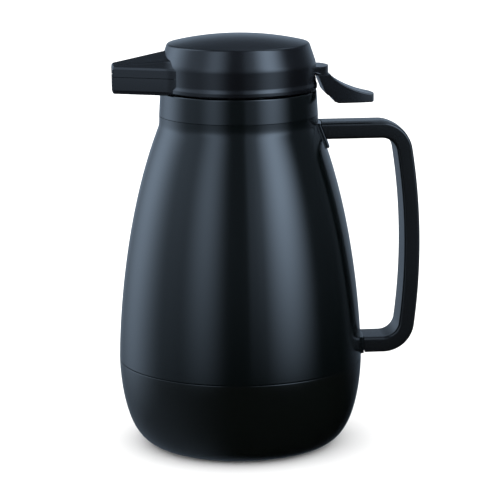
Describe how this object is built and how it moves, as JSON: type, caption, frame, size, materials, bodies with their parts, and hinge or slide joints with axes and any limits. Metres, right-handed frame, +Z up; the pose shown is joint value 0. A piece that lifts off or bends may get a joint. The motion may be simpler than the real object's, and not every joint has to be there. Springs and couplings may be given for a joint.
{
  "type": "thermal carafe",
  "caption": "Free-standing vacuum carafe with a D-shaped handle, a stopper lid with a pouring spout, and a thumb lever that opens the valve inside the lid.",
  "frame": {"origin": "middle of the foot pad's underside, on the table", "axes": "+Z up along the body's axis, +X towards the handle and the thumb lever, -X towards the spout, +Y across the carafe"},
  "size_m": [0.1654, 0.1322, 0.2232],
  "materials": {
    "shell_gloss": "polished",
    "base_gloss": "polished",
    "lid_satin": "satin",
    "handle_satin": "satin",
    "inner_plastic": "moulded",
    "flask_steel": "brushed",
    "seal_silicone": "smooth",
    "cushion_rubber": "matte",
    "hardware_steel": "bright"
  },
  "bodies": {
    "vessel": {"outer_body": "shell_gloss", "base_cup": "base_gloss", "neck_collar": "shell_gloss", "inner_flask": "flask_steel", "outer_flask": "flask_steel", "vacuum_seal": "flask_steel", "neck_gasket": "seal_silicone", "base_cushion": "cushion_rubber", "foot_pad": "cushion_rubber", "handle_frame": "handle_satin", "handle_cover": "handle_satin", "handle_screws": "hardware_steel"},
    "gasket": {"stopper_gasket": "seal_silicone"},
    "lid": {"lid_cover": "lid_satin", "lid_base": "inner_plastic", "lid_screws": "hardware_steel", "spout_base": "lid_satin", "spout_hood": "lid_satin", "stopper_body": "inner_plastic", "stem_seal": "seal_silicone", "lever_pin": "hardware_steel", "valve_spring": "hardware_steel"},
    "lever": {"thumb_lever": "lid_satin"},
    "valve": {"valve_stem": "hardware_steel", "stem_nut": "inner_plastic", "valve_disc": "inner_plastic", "valve_seal": "seal_silicone"}
  },
  "joints": [
    {"name": "lid_lift", "type": "slide", "parent": "vessel", "child": "gasket", "axis": [0, 0, 1], "range_m": [0, 0.06]},
    {"name": "lid_turn", "type": "hinge", "parent": "gasket", "child": "lid", "pos_m": [0, 0, 0.1943], "axis": [0, 0, 1], "range_deg": [0, 90]},
    {"name": "lever_press", "type": "hinge", "parent": "lid", "child": "lever", "pos_m": [0.0345, 0, 0.2032], "axis": [0, 1, 0], "range_deg": [0, 10], "stiffness_Nm_per_rad": 0.5, "springref_deg": -5.73},
    {"name": "valve_lift", "type": "slide", "parent": "lid", "child": "valve", "axis": [0, 0, 1], "range_m": [0, 0.0062], "deforming": ["valve_spring"]}
  ],
  "couplings": [
    {"joint": "valve_lift", "follows": "lever_press", "m_per_rad": 0.0345}
  ]
}
